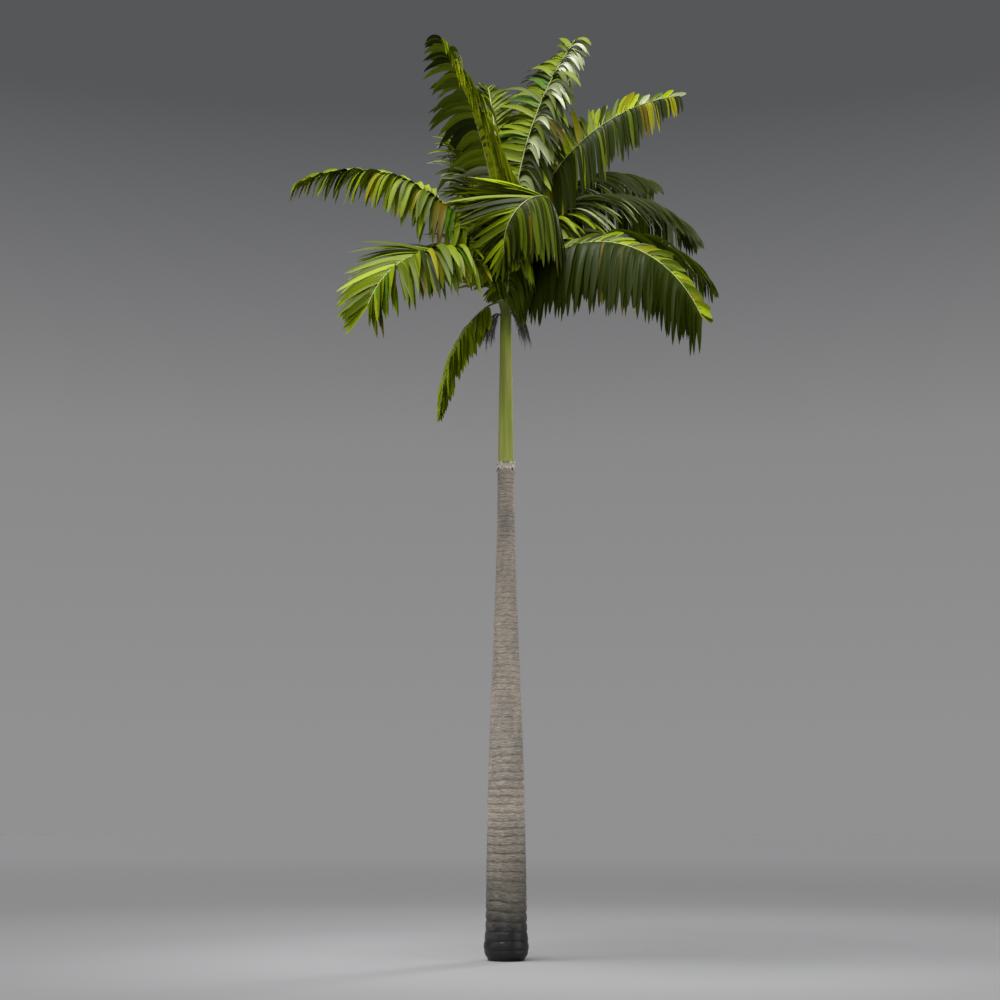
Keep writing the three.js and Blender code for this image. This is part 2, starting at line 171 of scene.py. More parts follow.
# each point's turn about the Z axis, and its height
def turnAndHeight(piece):
    places = coordinatesOf(piece)
    return np.arctan2(places[:, 1], places[:, 0]), places[:, 2]


def setRound(piece, radius, turn, height):
    places = np.stack([radius * np.cos(turn), radius * np.sin(turn), height], axis=1)
    piece.data.vertices.foreach_set("co", places.ravel())
    piece.data.update()


# the ways that point outwards and around at an azimuth in radians
def outwardAndAround(azimuth):
    outward = np.array([math.cos(azimuth), math.sin(azimuth), 0.0])
    return outward, np.array([-outward[1], outward[0], 0.0])


# a cylinder with its place in its mesh, cut into rows of equal height
def addColumn(name, low, high, sides, cuts):
    deselectAll()
    bpy.ops.mesh.primitive_cylinder_add(
        vertices=sides, radius=0.1, depth=high - low, location=(0, 0, (low + high) / 2)
    )
    column = bpy.context.object
    column.name = column.data.name = name
    bpy.ops.object.transform_apply(location=True, rotation=False, scale=False)
    bpy.context.tool_settings.mesh_select_mode = (False, True, False)
    for count in cuts:
        mesh = column.data
        ends = np.empty(len(mesh.edges) * 2, int)
        mesh.edges.foreach_get("vertices", ends)
        heights = coordinatesOf(column)[ends.reshape(-1, 2), 2]
        for part in (mesh.vertices, mesh.polygons):
            part.foreach_set("select", np.zeros(len(part), bool))
        mesh.edges.foreach_set("select", np.abs(heights[:, 0] - heights[:, 1]) > 1e-6)
        bpy.ops.object.mode_set(mode="EDIT")
        bpy.ops.mesh.subdivide(number_cuts=count)
        bpy.ops.object.mode_set(mode="OBJECT")
    return column


def smoothed(piece, angle):
    deselectAll()
    piece.select_set(True)
    bpy.context.view_layer.objects.active = piece
    bpy.ops.object.shade_smooth_by_angle(angle=math.radians(angle))


def finishPiece(piece, finishes, slot, *nodes):
    for finish in finishes:
        piece.data.materials.append(finish)
    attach(piece, "root")
    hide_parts(*nodes)


# one mesh from a list of (points, faces, finish number for each face)
def meshFrom(name, parts):
    points = np.vstack([part[0] for part in parts])
    faces, numbers, base = [], [], 0
    for places, corners, finish in parts:
        faces += [[corner + base for corner in face] for face in corners]
        numbers += list(finish)
        base += len(places)
    mesh = bpy.data.meshes.new(name)
    mesh.from_pydata(points.tolist(), [], faces)
    mesh.polygons.foreach_set("material_index", numbers)
    mesh.update()
    piece = bpy.data.objects.new(name, mesh)
    bpy.context.scene.collection.objects.link(piece)
    return piece


# a closed tube through a row of points, with the two directions across it and its half sizes there
def sweptTube(points, across, over, halfWidth, halfThickness, sides, finish=0):
    turn = np.arange(sides) * 2 * math.pi / sides
    rings = (
        points[:, None]
        + across[:, None] * (np.cos(turn)[None, :, None] * halfWidth[:, None, None])
        + over[:, None] * (np.sin(turn)[None, :, None] * halfThickness[:, None, None])
    )
    faces = []
    for row in range(len(points) - 1):
        for side in range(sides):
            after = (side + 1) % sides
            low, high = row * sides, (row + 1) * sides
            faces.append([low + side, low + after, high + after, high + side])
    faces.append(list(range(sides))[::-1])
    faces.append([(len(points) - 1) * sides + side for side in range(sides)])
    return rings.reshape(-1, 3), faces, [finish] * len(faces)


camera = {
    "place": (-0.078, -19.9, 1.65),
    "tilt": 11.9,  # above the level
    "lens": 55.44,
}


def addCamera():
    deselectAll()
    turn = (math.radians(90 + camera["tilt"]), 0, 0)
    bpy.ops.object.camera_add(location=camera["place"], rotation=turn)
    eye = bpy.context.object
    eye.data.sensor_width = 36.0
    eye.data.lens = camera["lens"]
    eye.data.clip_end = 600.0
    bpy.context.scene.camera = eye


addCamera()
print("camera placed")

studio = {
    "floorRadius": 260.0,
    "floorReach": 60.0,  # the floor's colours run out to here
    # painted light: the floor is paler near the palm, a painted pool of light, darker further out and a little lighter
    # at the far edge to meet the sky
    "floorColours": [
        (0.0, (146, 146, 147)),
        (0.04, (138, 138, 139)),
        (0.1, (122, 122, 123)),
        (0.25, (108, 108, 109)),
        (1.0, (118, 118, 119)),
    ],
    "sky": [(0.0, (150, 150, 151)), (0.53, (148, 148, 149)), (0.62, (140, 140, 141)), (0.72, (88, 89, 91))],
    "skyStrength": 0.95,
    "sun": ((-3.5, -2.5, 14.0), 4.4, 38.0),  # the way it stands, strength and spread
    # place, aimed at, size, watts and the width of the beam
    "lights": {
        "rimBack": ((8.0, 10.0, 17.0), (0.0, 0.0, 10.0), 4.0, 1300.0, 180.0),
        "crownRight": ((8.0, -6.0, 16.0), (2.2, 0.0, 9.6), 4.0, 80.0, 75.0),
        "frontFill": ((-3.0, -15.0, 4.0), (0.0, 0.0, 8.5), 8.0, 300.0, 180.0),
        "sideRight": ((10.0, -4.0, 3.6), (0.0, 0.0, 5.0), 5.0, 105.0, 100.0),
        "sideLeft": ((-10.0, -4.0, 3.6), (0.0, 0.0, 5.0), 5.0, 65.0, 100.0),
    },
}


# the turn that makes a lamp shine back along the way it stands
def lampTurn(way):
    return math.atan2(math.hypot(way[0], way[1]), way[2]), 0, math.atan2(way[1], way[0]) + math.pi / 2


def addStudio():
    deselectAll()
    bpy.ops.mesh.primitive_circle_add(vertices=96, radius=studio["floorRadius"], fill_type="NGON")
    floor = bpy.context.object
    floor.name = floor.data.name = "studio_floor"
    finish = newFinish("paleFloor", studio["floorColours"][0][1], 0.7)
    place = addNode(finish, "ShaderNodeTexCoord")
    away = addNode(finish, "ShaderNodeVectorMath", operation="LENGTH")
    link(finish, place.outputs["Object"], away.inputs[0])
    share = remap(finish, away.outputs["Value"], 0.0, studio["floorReach"], 0.0, 1.0)
    link(finish, colourRamp(finish, share, studio["floorColours"]), shaderOf(finish).inputs["Base Color"])
    floor.data.materials.append(finish)
    for name, (place, aim, size, watts, beam) in studio["lights"].items():
        deselectAll()
        bpy.ops.object.light_add(type="AREA", location=place)
        lamp = bpy.context.object
        lamp.name = name
        lamp.rotation_euler = lampTurn(np.subtract(place, aim))
        lamp.data.shape = "DISK"
        lamp.data.size = size
        lamp.data.energy = watts
        lamp.data.spread = math.radians(beam)
    way, strength, spread = studio["sun"]
    deselectAll()
    bpy.ops.object.light_add(type="SUN", location=(0, 0, 20))
    sun = bpy.context.object
    sun.name = "softSun"
    sun.rotation_euler = lampTurn(way)
    sun.data.energy = strength
    sun.data.angle = math.radians(spread)
    world = bpy.context.scene.world or bpy.data.worlds.new("studio")
    bpy.context.scene.world = world
    world.use_nodes = True
    tree = world.node_tree
    place = tree.nodes.new("ShaderNodeTexCoord")
    split = tree.nodes.new("ShaderNodeSeparateXYZ")
    height = tree.nodes.new("ShaderNodeMapRange")
    height.inputs["From Min"].default_value = -1.0
    ramp = tree.nodes.new("ShaderNodeValToRGB")
    setStops(ramp, studio["sky"])
    background = tree.nodes["Background"]
    background.inputs["Strength"].default_value = studio["skyStrength"]
    tree.links.new(place.outputs["Generated"], split.inputs["Vector"])
    tree.links.new(split.outputs["Z"], height.inputs["Value"])
    tree.links.new(height.outputs["Result"], ramp.inputs["Fac"])
    tree.links.new(ramp.outputs["Color"], background.inputs["Color"])
    bpy.context.scene.view_settings.view_transform = "Standard"


addStudio()
print("floor, lights and sky ready")

trunk = {
    "height": 6.25,
    "topRadius": 0.109,
    "swell": 0.147,
    "taperPower": 1.2,
    "flare": 0.022,
    "flareHeight": 0.15,
    "flareSpread": 0.17,
    "undercut": 0.041,
    "undercutHeight": 0.06,
    "sides": 112,
    "rows": (23, 22),  # cuts, and cuts again in each of those
    "ringSpacing": (0.125, 0.085),  # at the ground and at the top
    "ringDepth": (0.016, 0.0015),
    "wrinkleSpacing": 0.036,
    "wrinkleDepth": 0.0022,
    "plainEnds": 0.05,  # the relief fades out this near to either end
}


def trunkRadius(height):
    taper = np.cos(math.pi / 2 * (height / trunk["height"]) ** trunk["taperPower"]) ** 2
    flare = trunk["flare"] * np.exp(-(((height - trunk["flareHeight"]) / trunk["flareSpread"]) ** 2))
    undercut = trunk["undercut"] * np.exp(-((height / trunk["undercutHeight"]) ** 2))
    return trunk["topRadius"] + trunk["swell"] * taper + flare - undercut


# how far the bark stands out, and the painted shade in its ring grooves and wrinkle troughs, from 0 to 1
def barkRelief(turn, height):
    climb = height / trunk["height"]
    spacing = mix(*trunk["ringSpacing"], climb)
    wave = 0.1 * np.sin(turn + 2.1 * height) + 0.06 * np.sin(2 * turn - 5.3 * height + 1.0)
    wave += 0.04 * np.sin(5 * turn + 3.0 * height) + 0.2 * np.sin(3.7 * height)
    ring = height / spacing + wave
    share = ring - np.floor(ring)
    uneven = 0.65 + 0.35 * scatter(np.floor(ring) * 3.7)
    groove = np.exp(-((np.minimum(share, 1 - share) / 0.1) ** 2)) * uneven
    depth = mix(*trunk["ringDepth"], np.clip(climb * 1.9, 0, 1) ** 0.6)
    bulge = depth * (np.sin(math.pi * share) ** 0.6 - 0.75) * uneven - 0.35 * depth * groove
    low = np.clip((2.4 - height) / 1.2, 0, 1)
    ripple = 0.45 * np.sin(3 * turn + 7.1 * height) + 0.4 * np.sin(7 * turn - 11.0 * height + 2.0)
    ripple += 0.35 * np.sin(11 * turn + 17.0 * height) + 0.3 * np.sin(16 * turn - 5.0 * height)
    wrinkle = np.sin(2 * math.pi * height / trunk["wrinkleSpacing"] + 1.5 * ripple)
    strength = 0.55 + 0.45 * np.sin(2 * turn + 3.3 * height + 1.2 * np.sin(5 * turn))
    fine = trunk["wrinkleDepth"] * wrinkle * strength
    # painted shade: darker in the ring grooves, more so near the ground, and in the wrinkle troughs
    dark = np.clip((0.5 + 0.5 * low) * groove + 0.22 * np.clip(-wrinkle * strength, 0, 1), 0, 1)
    return bulge + fine, dark


def barkFinish():
    finish = newFinish("palmBark", (160, 150, 138), 0.7)
    shader = shaderOf(finish)
    shader.inputs["Specular IOR Level"].default_value = 0.45
    fibres = stretchedNoise(finish, (16.0, 16.0, 120.0), 5.0, 0.6, 0.4)
    patches = stretchedNoise(finish, (3.5, 3.5, 2.2), 3.0)
    tans = [(0.3, (120, 107, 94)), (0.45, (155, 143, 129)), (0.56, (181, 170, 156)), (0.72, (205, 196, 184))]
    tan = colourRamp(finish, fibres, tans)
    grey = colourRamp(finish, fibres, [(0.32, (104, 98, 90)), (0.5, (147, 140, 130)), (0.7, (186, 180, 170))])
    bark = blendColours(finish, remap(finish, patches, 0.42, 0.6, 0.0, 1.0), tan, grey)
    # the groove attribute carries the painted shade of the grooves and wrinkle troughs, multiplied into the bark
    groove = addNode(finish, "ShaderNodeAttribute", attribute_name="groove").outputs["Fac"]
    shadow = colourRamp(finish, groove, [(0.0, (255, 255, 255)), (0.5, (188, 181, 172)), (1.0, (112, 104, 96))])
    bark = blendColours(finish, 1.0, bark, shadow, "MULTIPLY")
    # darker and greener towards the ground, and black where it stands wet
    place = addNode(finish, "ShaderNodeTexCoord")
    split = addNode(finish, "ShaderNodeSeparateXYZ")
    link(finish, place.outputs["Object"], split.inputs["Vector"])
    blotches = stretchedNoise(finish, (7.0, 7.0, 9.0), 4.0)
    drift = remap(finish, blotches, 0.25, 0.75, -0.16, 0.16)
    height = calculate(finish, "ADD", split.outputs["Z"], drift)
    weathered = colourRamp(finish, fibres, [(0.3, (44, 42, 37)), (0.5, (70, 67, 59)), (0.7, (104, 100, 89))])
    bark = blendColours(finish, remap(finish, height, 1.7, 0.6, 0.0, 0.95), bark, weathered)
    soaked = colourRamp(finish, fibres, [(0.3, (4, 4, 4)), (0.7, (10, 10, 9))])
    bark = blendColours(finish, remap(finish, height, 0.62, 0.28, 0.0, 1.0), bark, soaked)
    link(finish, bark, shader.inputs["Base Color"])
    link(finish, remap(finish, height, 0.25, 0.7, 0.45, 0.62), shader.inputs["Roughness"])
    addBump(finish, fibres, 0.35, 0.006)
    return finish


def buildTrunk():
    piece = addColumn("trunk_bark", 0.0, trunk["height"], trunk["sides"], trunk["rows"])
    turn, height = turnAndHeight(piece)
    relief, groove = barkRelief(turn, height)
    ends = np.clip(np.minimum(height, trunk["height"] - height) / trunk["plainEnds"], 0, 1)
    setRound(piece, trunkRadius(height) + relief * ends, turn, height)
    # the painted groove shade, stored on the points for the bark finish
    layer = piece.data.attributes.new("groove", "FLOAT", "POINT")
    layer.data.foreach_set("value", groove * ends)
    smoothed(piece, 50)
    finishPiece(piece, [barkFinish()], "trunk", "trunk")


buildTrunk()
print("trunk dressed")

shaft = {
    "foot": 6.33,
    "footRadius": 0.105,
    "footRounding": 0.05,
    "footInset": 0.012,
    "topRadius": 0.076,
    "shoulder": 8.3,
    "heart": 0.85,
    "sides": 72,
    "rows": (9, 11),
    "seams": 3,  # overlapping edges of the leaf sheaths
    "seamStep": 0.0035,
    "seamClimb": 0.35,
    "tipRadius": 0.004,
}


def shaftRadius(height):
    height = np.asarray(height, float)
    top = np.clip((height - shaft["shoulder"]) / shaft["heart"], 0, 1)
    share = (height - shaft["foot"]) / (shaft["shoulder"] - shaft["foot"])
    rounding = np.clip(1 - (height - shaft["foot"]) / shaft["footRounding"], 0, None)
    below = mix(shaft["footRadius"], shaft["topRadius"], share) - shaft["footInset"] * rounding**2
    return np.where(height > shaft["shoulder"], shaft["topRadius"] * np.sqrt(1 - top**2), below)


def shaftFinish():
    finish = newFinish("crownshaftSkin", (138, 146, 52), 0.36, Coat_Weight=0.12, Coat_Roughness=0.3)
    streaks = stretchedNoise(finish, (26.0, 26.0, 1.1), 4.0, 0.5)
    clouds = stretchedNoise(finish, (5.0, 5.0, 1.6), 3.0)
    green = colourRamp(finish, streaks, [(0.3, (144, 158, 56)), (0.52, (162, 176, 70)), (0.72, (184, 194, 98))])
    yellow = colourRamp(finish, streaks, [(0.3, (158, 160, 72)), (0.7, (188, 184, 104))])
    skin = blendColours(finish, remap(finish, clouds, 0.4, 0.62, 0.0, 0.8), green, yellow)
    # deeper where the crown shades it
    place = addNode(finish, "ShaderNodeTexCoord")
    split = addNode(finish, "ShaderNodeSeparateXYZ")
    link(finish, place.outputs["Object"], split.inputs["Vector"])
    drift = calculate(finish, "ADD", split.outputs["Z"], remap(finish, clouds, 0.3, 0.7, -0.12, 0.12))
    shaded = colourRamp(finish, streaks, [(0.3, (70, 84, 22)), (0.7, (112, 124, 42))])
    skin = blendColours(finish, remap(finish, drift, 7.95, 8.25, 0.0, 0.9), skin, shaded)
    link(finish, skin, shaderOf(finish).inputs["Base Color"])
    addBump(finish, streaks, 0.12, 0.002)
    return finish


def buildShaft():
    top = shaft["shoulder"] + shaft["heart"]
    piece = addColumn("crownshaft_skin", shaft["foot"], top, shaft["sides"], shaft["rows"])
    turn, height = turnAndHeight(piece)
    share = (height - shaft["foot"]) / (top - shaft["foot"])
    height = mix(shaft["foot"], top, np.sin(math.pi / 2 * share))
    # each sheath laps over the next with a low step that winds slowly up the shaft
    wound = (turn / (2 * math.pi) * shaft["seams"] + shaft["seamClimb"] * (height - shaft["foot"]) + 0.2) % 1.0
    step = shaft["seamStep"] * (wound - 0.5)
    setRound(piece, np.maximum(shaftRadius(height) + step, shaft["tipRadius"]), turn, height)
    smoothed(piece, 40)
    finishPiece(piece, [shaftFinish()], "crownshaft", "crownshaft")


buildShaft()
print("crownshaft dressed")

collar = {
    "radius": 0.117,
    "low": 6.2515,
    "high": 6.3285,
    "rounding": 0.013,
    "rootHeight": 0.45,  # share of its height where the scraps start
    "rootInset": 0.006,
    "scraps": 19,
    "length": 0.072,
    "width": 0.06,
    "thickness": 0.0035,
    "lean": 0.16,
    "sideways": 0.55,
    "curl": 0.02,
    "rows": 7,
    "columns": 5,
    # colours across the fibres
    "pale": [(0.3, (120, 108, 88)), (0.42, (184, 176, 158)), (0.55, (222, 218, 206)), (0.75, (240, 238, 230))],
    "rotten": [(0.35, (34, 30, 25)), (0.7, (92, 80, 64))],
}


def sheathFinish(name, colour, roughness, stops):
    finish = newFinish(name, colour, roughness)
    fibres = stretchedNoise(finish, (70.0, 70.0, 14.0), 4.0, 0.6)
    link(finish, colourRamp(finish, fibres, stops), shaderOf(finish).inputs["Base Color"])
    addBump(finish, fibres, 0.3, 0.002)
    return finish


# one torn scrap as (points, faces, finish numbers): a curled sheet with an even thickness
def scrapMesh(number):
    rows, columns = collar["rows"], collar["columns"]
    azimuth = 2 * math.pi * (number + 0.3 * scatter(number + 0.2)) / collar["scraps"]
    outward, around = outwardAndAround(azimuth)
    hanging = number % 3 == 2
    length = collar["length"] * (1 + 0.5 * scatter(number + 0.4)) * (0.8 if hanging else 1.0)
    lean = outward * collar["lean"] * (1 + 0.9 * scatter(number + 0.6))
    way = unit(lean + up * (-1 if hanging else 1) + around * collar["sideways"] * scatter(number + 0.9))
    root = outward * (collar["radius"] - collar["rootInset"])
    root = root + up * mix(collar["low"], collar["high"], collar["rootHeight"])
    top, bottom = [], []
    for row in range(rows):
        share = row / (rows - 1)
        middle = root + way * (length * share)
        middle = middle + outward * collar["curl"] * share**2 * (1 + scatter(number * 7 + 0.8))
        half = collar["width"] / 2 * (1 - share) ** 0.8 * (1 + 0.25 * scatter(number * 31 + row)) + 0.0016
        sway = 0.012 * share * scatter(number * 13 + 0.5)
        inset = outward * collar["thickness"] / 2 * (1 - 0.6 * share)
        for column in range(columns):
            side = (2 * column / (columns - 1) - 1) * half
            ragged = 0.006 * share * scatter(number * 97 + row * 11 + column)
            bend = -0.5 * side**2 / collar["radius"]
            place = middle + around * (side + sway) + outward * bend + way * ragged
            top.append(place + inset)
            bottom.append(place - inset)
    count = rows * columns
    faces = []
    for row in range(rows - 1):
        for a in range(row * columns, (row + 1) * columns - 1):
            b, c, d = a + 1, a + columns + 1, a + columns
            faces += [[a, b, c, d], [a + count, d + count, c + count, b + count]]
    rim = list(range(columns)) + [row * columns + columns - 1 for row in range(1, rows)]
    rim += [(rows - 1) * columns + column for column in range(columns - 2, -1, -1)]
    rim += [row * columns for row in range(rows - 2, 0, -1)]
    faces += [[b, a, a + count, b + count] for a, b in zip(rim, rim[1:] + rim[:1])]
    if hanging:
        faces = [face[::-1] for face in faces]
    dark = number % 6 == 5 or number % 7 == 3
    return np.array(top + bottom), faces, [int(dark)] * len(faces)


def buildCollar():
    piece = addColumn("collar_ring", collar["low"], collar["high"], 60, (7,))
    turn, height = turnAndHeight(piece)
    share = (height - collar["low"]) / (collar["high"] - collar["low"])
    radius = collar["radius"] - collar["rounding"] * np.abs(2 * share - 1) ** 3
    radius += 0.0025 * np.sin(9 * turn + 20 * share) + 0.002 * np.sin(17 * turn - 9 * share)
    setRound(piece, radius, turn, height)
    smoothed(piece, 40)
    pale = sheathFinish("driedSheath", (206, 200, 186), 0.8, collar["pale"])
    rotten = sheathFinish("rottenSheath", (60, 52, 42), 0.85, collar["rotten"])
    finishPiece(piece, [pale], "collar", "collar")
    piece = meshFrom("collar_scraps", [scrapMesh(number) for number in range(collar["scraps"])])
    smoothed(piece, 35)
    finishPiece(piece, [pale, rotten], "collar", "collar")


buildCollar()
print("collar dressed")

# the rule for every frond; a leaflet's station sizes run from its foot to its tip
frondRule = {
    "steps": 60,
    "ribSides": 8,
    "ribWidth": 0.046,
    "ribThickness": 0.028,
    "ribTip": 0.24,
    "ribSeat": 0.012,
    "ribHeel": 0.045,
    "greenFoot": 0.14,
    "start": 0.1,
    "foot": 0.42,
    "fall": 0.72,
    "fan": (60, 30),
    "crowding": 1.45,
    "leafWidth": 0.072,
    "leafThickness": 0.0032,
    "fold": 0.3,
    "stations": 12,
    "louver": 13.0,  # each leaflet tilts over the next
    "bunch": 4.5,  # neighbours that keep together
    "bunchFan": 4.0,
    "bunchLift": 8.0,
    "bunchLength": 0.08,
    "widthJitter": 0.3,
    "fanJitter": 4.0,
    "liftJitter": 15.0,
    "lengthJitter": 0.13,
    "hangJitter": 0.3,
    "twist": 22.0,
    "sheenShare": -0.5,  # more leaflets shine in a stretch of sheen where this is lower
    "dryTips": 0.88,  # fewer tips are brown where this is higher
}

# each frond leaves the heart at its height and azimuth, climbs at its rise and sags on the way to its tip,
# late where bend is over 1 and early where it is under; swing turns it on the way. leaf, lift and hang are
# the longest leaflet, its angle above the blade and its droop, for the left and the right side.
# tones are the shares of leaflets in each colour, and the rest are olive; besides real variation they paint light
# and shade, with more of the glowing, lime and bright tones on sides in light and more of the dark tone on sides in
# shade. sheen is the stretch of the rachis where most leaflets take the painted sheen colour, and broad widens a
# side's leaflets
fronds = [
    dict(name="left_upright", azimuth=-143.5, rise=88, length=3.48, sag=34, height=8.86, bend=1.2, fall=0.68,
         leaf=(0.98, 0.88), lift=(24, 8), hang=(5, 1.1), fan=(66, 50), rightFan=(80, 40), leaflets=74,
         broad=(1.2, 1.1), tones=dict(paintedGlow=0.45, lime=0.3, bright=0.15), rightTones=dict(bright=0.42, dark=0.14),
         rightSheen=(0.36, 0.44), seed=1),
    dict(name="back_upright", azimuth=101, rise=79.5, length=3.66, sag=24, height=8.98, bend=1.45,
         leaf=(0.8, 0.8), lift=(15, 15), hang=(0.5, 0.5), leaflets=72, tones=dict(bright=0.4, dark=0.14), seed=2),
    dict(name="right_upright", azimuth=33.4, rise=90.5, length=4.12, sag=34, height=8.94, bend=1, fall=0.62,
         leaf=(1.14, 0.86), lift=(15, 5), hang=(0.7, 2.8), fan=(70, 40), rightFan=(70, 44), leaflets=80,
         broad=(1.3, 1), tones=dict(lime=0.06, bright=0.36, fresh=0.1, yellow=0.06, dark=0.1),
         rightTones=dict(bright=0.2, brown=0.04, dark=0.2, paintedSheen=0.22), rightSheen=(0.8, 0.96), seed=3),
    dict(name="right_upper", azimuth=12.5, rise=80, length=4.19, sag=66.5, height=8.82, bend=1.3,
         leaf=(0.72, 0.95), lift=(48, -5), hang=(0.45, 14), fan=(62, 34), rightFan=(86, 60), leaflets=80,
         broad=(1.1, 0.8), tones=dict(lime=0.25, bright=0.3, yellow=0.06, dark=0.12),
         rightTones=dict(bright=0.1, yellow=0.04, brown=0.03, dark=0.72), sheen=(0.84, 1), seed=4, split=True),
    dict(name="left_arching", azimuth=175, rise=69.5, length=3.78, sag=97, height=8.7, bend=1.5, fall=0.6,
         leaf=(0.86, 0.52), lift=(10, 46), hang=(4.5, 1.6), fan=(66, 40), rightFan=(55, 30), leaflets=74,
         broad=(1.1, 1.2), tones=dict(bright=0.3, fresh=0.06, yellow=0.04, brown=0.03, dark=0.06),
         rightTones=dict(lime=0.5, bright=0.3, fresh=0.1), seed=5, split=True),
    dict(name="left_front", azimuth=-134, rise=64.5, length=2.96, sag=131.5, height=8.5, bend=0.71, fall=0.5,
         leaf=(1.12, 0.95), lift=(10, 20), hang=(2, 0.5), fan=(74, 45), rightFan=(60, 34), leaflets=76,
         broad=(1.1, 1.3), tones=dict(bright=0.25, fresh=0.16, yellow=0.12, brown=0.04, dark=0.1),
         rightTones=dict(lime=0.06, bright=0.4, fresh=0.16), seed=6, split=True),
    dict(name="left_hanging", azimuth=-160, rise=-4, length=1.93, sag=83, height=8.58, bend=0.42,
         leaf=(0.52, 0.52), lift=(-10, -10), hang=(2.5, 2.5), fan=(70, 40), start=0.12, foot=0.9, leaflets=54,
         broad=(1.2, 1.2), tones=dict(lime=0.5, bright=0.35), seed=7),
    dict(name="front_curled", azimuth=-14, rise=61.5, length=3.17, sag=161, height=8.72, bend=1.41, swing=-175,
         fall=0.66, leaf=(1.0, 1.15), lift=(-30, 16), hang=(12, 0.35), fan=(80, 60), rightFan=(92, 70), leaflets=84,
         broad=(1, 1.3), tones=dict(brown=0.06, dark=0.7),
         rightTones=dict(lime=0.2, bright=0.3, yellow=0.06, dark=0.15), seed=8, split=True),
    dict(name="right_front", azimuth=-40, rise=75, length=3.8, sag=141, height=8.55, bend=0.58, fall=0.5,
         leaf=(0.36, 1.08), lift=(44, -5), hang=(0.8, 8), fan=(60, 44), rightFan=(82, 56), start=0.15, foot=0.85,
         leaflets=84, broad=(1.2, 1.1), tones=dict(lime=0.24, bright=0.3, yellow=0.12, dark=0.12),
         rightTones=dict(brown=0.05, dark=0.95), seed=9, split=True),
    dict(name="right_low", azimuth=4, rise=78, length=3.5, sag=133, height=8.58, bend=0.88, swing=3,
         leaf=(0.8, 0.95), lift=(-5, 5), hang=(5, 1.8), fan=(74, 40), rightFan=(46, 24), leaflets=74,
         broad=(0.8, 1.1), tones=dict(dark=0.3, bright=0.1),
         rightTones=dict(lime=0.12, bright=0.4, paintedSheen=0.1, dark=0.15), seed=10, split=True),
    dict(name="right_middle", azimuth=18.5, rise=80, length=3.8, sag=126, height=8.68, bend=1.21,
         leaf=(1.0, 0.95), lift=(-5, 0), hang=(5, 1.8), fan=(74, 40), rightFan=(44, 24), leaflets=74,
         broad=(0.7, 1.1), tones=dict(dark=0.2, bright=0.1, paintedSheen=0.16),
         rightTones=dict(lime=0.12, bright=0.3, paintedSheen=0.25, dark=0.1), rightSheen=(0.45, 1), seed=11, split=True),
    dict(name="right_high", azimuth=38, rise=73, length=3.9, sag=80, height=8.78, bend=1.4,
         leaf=(0.95, 0.85), lift=(-5, 0), hang=(4, 1.8), fan=(72, 38), rightFan=(42, 22), leaflets=74,
         broad=(0.7, 1.1), tones=dict(dark=0.2, bright=0.1, paintedSheen=0.2),
         rightTones=dict(lime=0.2, bright=0.2, paintedSheen=0.35), rightSheen=(0.4, 1), seed=12, split=True),
    dict(name="front_low", azimuth=-82.5, rise=78, length=1.92, sag=155, height=8.42, bend=1.2,
         leaf=(0.8, 0.6), lift=(0, 10), hang=(8, 1.6), fan=(76, 50), leaflets=48,
         tones=dict(bright=0.2, dark=0.4), rightTones=dict(lime=0.45, bright=0.2), seed=13),
    dict(name="back_right", azimuth=64, rise=72, length=3.1, sag=95, height=8.64, bend=1.2,
         leaf=(0.7, 0.7), lift=(15, 15), hang=(1.5, 1.5), leaflets=60, tones=dict(bright=0.15, dark=0.4), seed=14,
         split=True),
    dict(name="back_left", azimuth=118, rise=68, length=2.7, sag=90, height=8.56, bend=1.2,
         leaf=(0.85, 0.85), lift=(25, 25), hang=(1.2, 1.2), leaflets=60, tones=dict(bright=0.3, dark=0.2),
         seed=15, split=True),
    dict(name="back_left_upright", azimuth=129, rise=76, length=2.8, sag=12, height=8.8, bend=1.2,
         leaf=(0.85, 0.85), lift=(15, 15), hang=(1, 1), fan=(76, 45), leaflets=62,
         tones=dict(bright=0.35, dark=0.2, paintedSheen=0.04), sheen=(0.5, 0.72), seed=16),
]

leafColours = {
    # upper side and underside; each underside is duller and darker, the darkening painted shade
    "olive": ((92, 108, 6), (70, 82, 8)),
    # painted light: a glowing yellow-green for leaflets that stand in strong light
    "paintedGlow": ((188, 198, 18), (142, 152, 14)),
    "lime": ((156, 174, 10), (120, 136, 12)),
    "bright": ((126, 142, 8), (94, 108, 10)),
    "fresh": ((84, 122, 8), (64, 92, 12)),
    "yellow": ((148, 146, 12), (112, 110, 14)),
    "brown": ((104, 92, 12), (82, 74, 14)),
    # painted shade: the colour given to leaflets that stand in the crown's shadow
    "dark": ((46, 57, 3), (35, 43, 5)),
    # painted sheen: a pale whitish colour that stands in for a highlight, its finish glossier as well
    "paintedSheen": ((150, 160, 110), (124, 132, 92)),
}


def leafFinishes():
    finishes = []
    for name, (upper, under) in leafColours.items():
        gloss = 0.6 if name == "paintedSheen" else 0.08
        finishes.append(newFinish(name + "LeafUpper", upper, 0.45, Specular_IOR_Level=gloss))
        finishes.append(newFinish(name + "LeafUnder", under, 0.55, Specular_IOR_Level=gloss * 0.6))
    finishes.append(newFinish("dryLeafTip", (128, 108, 56), 0.75))
    return finishes


